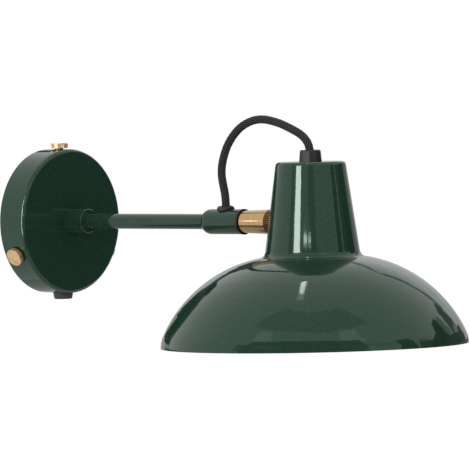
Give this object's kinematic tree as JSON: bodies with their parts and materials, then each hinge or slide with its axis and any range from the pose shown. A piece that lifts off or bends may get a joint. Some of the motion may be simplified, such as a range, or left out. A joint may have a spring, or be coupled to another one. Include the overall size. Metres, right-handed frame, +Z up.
{
  "type": "swivel wall lamp",
  "caption": "Wall lamp: round wall cup, straight arm, brass swivel and a spun bowl shade with a braided flex looping into its neck.",
  "frame": {"origin": "centre of the wall cup's back, on the wall, which is also the middle of the two bracket slots", "axes": "+Y into the wall, arm out along -Y, +Z up"},
  "size_m": [0.25, 0.415, 0.187],
  "materials": {
    "green_enamel": "gloss",
    "brass": "satin, brushed",
    "zinc_steel": "zinc plated",
    "nickel": "nickel plated",
    "black_plastic": "moulded, satin",
    "black_rubber": "matt",
    "black_braid": "woven textile",
    "white_plastic": "moulded",
    "ceramic": "glazed porcelain",
    "core_brown": "cable sheath",
    "core_earth": "cable sheath, green and yellow"
  },
  "bodies": {
    "arm": {"wall_cup": "green_enamel", "wall_bracket": "zinc_steel", "thumb_screws": "brass", "cable_entry_plug": "black_rubber", "terminal_block": "white_plastic", "terminal_screws": "brass", "core_leads": "core_brown", "earth_lead": "core_earth", "earth_terminal_ring": "nickel", "earth_screw": "brass", "hub_nipple": "zinc_steel", "hub_lock_washer": "zinc_steel", "hub_nut": "zinc_steel", "hub_collar": "green_enamel", "arm_tube": "green_enamel", "end_connector": "green_enamel", "arm_flex": "black_braid", "cord_grommet": "black_rubber", "friction_washer": "black_plastic", "pivot_stud": "zinc_steel", "wave_washer": "zinc_steel", "thrust_washer": "zinc_steel", "lock_nut": "zinc_steel", "flex_loop": "black_braid"},
    "head": {"swivel_barrel": "brass", "knurled_ring": "brass", "inner_saddle": "black_plastic", "shade": "green_enamel", "cord_grip": "black_plastic", "cord_clamp": "black_rubber", "head_nipple": "zinc_steel", "holder_lock_washer": "zinc_steel", "holder_cap": "black_plastic", "holder_skirt": "black_plastic", "holder_insert": "ceramic", "lamp_thread_shell": "nickel", "centre_contact": "brass", "holder_terminals": "brass", "head_flex": "black_braid", "head_leads": "core_brown"}
  },
  "joints": [
    {"name": "shade_swivel", "type": "hinge", "parent": "arm", "child": "head", "pos_m": [0, -0.21768, 0], "axis": [0, -1, 0], "range_deg": [-90, 90], "deforming": ["flex_loop"]}
  ]
}
